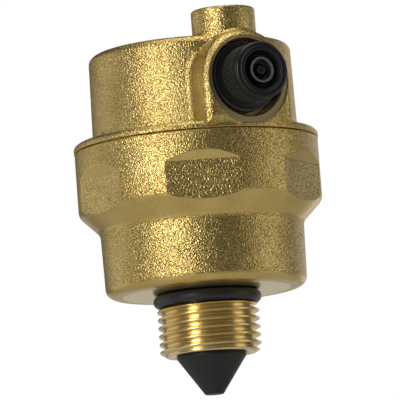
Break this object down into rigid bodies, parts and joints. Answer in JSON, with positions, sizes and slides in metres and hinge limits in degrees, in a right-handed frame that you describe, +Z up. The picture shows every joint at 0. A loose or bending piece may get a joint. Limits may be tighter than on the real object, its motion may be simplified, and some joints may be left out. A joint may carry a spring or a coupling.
{
  "type": "automatic air vent",
  "caption": "Brass float-type automatic air vent with a capped side outlet, hexagon flats, a sealing ring on the neck and a short male inlet thread with a drip cone.",
  "frame": {"origin": "centre of the machined shoulder face that seals on the pipe fitting, on the main axis", "axes": "+Z up along the main axis, away from the pipe fitting; -Y is the way the side outlet points"},
  "size_m": [0.0402, 0.0448, 0.0613],
  "materials": {
    "blasted_brass": "shot-blasted forging with machined faces and thread",
    "machined_brass": "bright turned brass",
    "black_plastic": "satin moulded black plastic",
    "seal_rubber": "smooth nitrile rubber",
    "float_plastic": "natural white moulded plastic",
    "lever_plastic": "grey moulded plastic",
    "spring_steel": "stainless sheet, pin and wire"
  },
  "bodies": {
    "housing": {"body": "blasted_brass", "cover": "blasted_brass", "body_seal_ring": "seal_rubber", "inlet_seal_ring": "seal_rubber", "inlet_cone": "black_plastic", "lever_bracket": "spring_steel", "pivot_pin": "spring_steel", "pivot_clip": "spring_steel", "lever_spring": "spring_steel", "valve_seat": "machined_brass", "vent_nozzle": "black_plastic", "nozzle_seal_ring": "seal_rubber", "vent_pin_spring": "spring_steel"},
    "float": {"float_cup": "float_plastic", "float_lid": "float_plastic", "link_pin": "spring_steel", "link_clip": "spring_steel"},
    "lever": {"lever": "lever_plastic", "shutter_pad": "seal_rubber"},
    "cap_washer": {"cap_washer": "seal_rubber"},
    "vent_cap": {"vent_cap": "black_plastic"},
    "vent_pin": {"vent_pin": "black_plastic", "vent_pin_clip": "spring_steel"}
  },
  "joints": [
    {"name": "float_rise", "type": "slide", "parent": "housing", "child": "float", "axis": [0, 0, 1], "range_m": [0, 0.0024]},
    {"name": "lever_swing", "type": "hinge", "parent": "housing", "child": "lever", "pos_m": [0, -0.0101, 0.02765], "axis": [1, 0, 0], "range_deg": [0, 11.47]},
    {"name": "cap_travel", "type": "slide", "parent": "housing", "child": "cap_washer", "axis": [0, -1, 0], "range_m": [0, 0.0015]},
    {"name": "cap_turn", "type": "hinge", "parent": "cap_washer", "child": "vent_cap", "pos_m": [0, -0.0191, 0.03265], "axis": [0, -1, 0], "range_deg": [0, 540.05]},
    {"name": "vent_pin_press", "type": "slide", "parent": "housing", "child": "vent_pin", "axis": [0, 1, 0], "range_m": [0, 0.0008], "stiffness_N_per_m": 150, "springref_m": -0.0005, "deforming": ["vent_pin_spring"]}
  ],
  "couplings": [
    {"joint": "lever_swing", "follows": "float_rise", "rad_per_m": 83.333},
    {"joint": "cap_turn", "follows": "cap_travel", "rad_per_m": 6283.2}
  ]
}
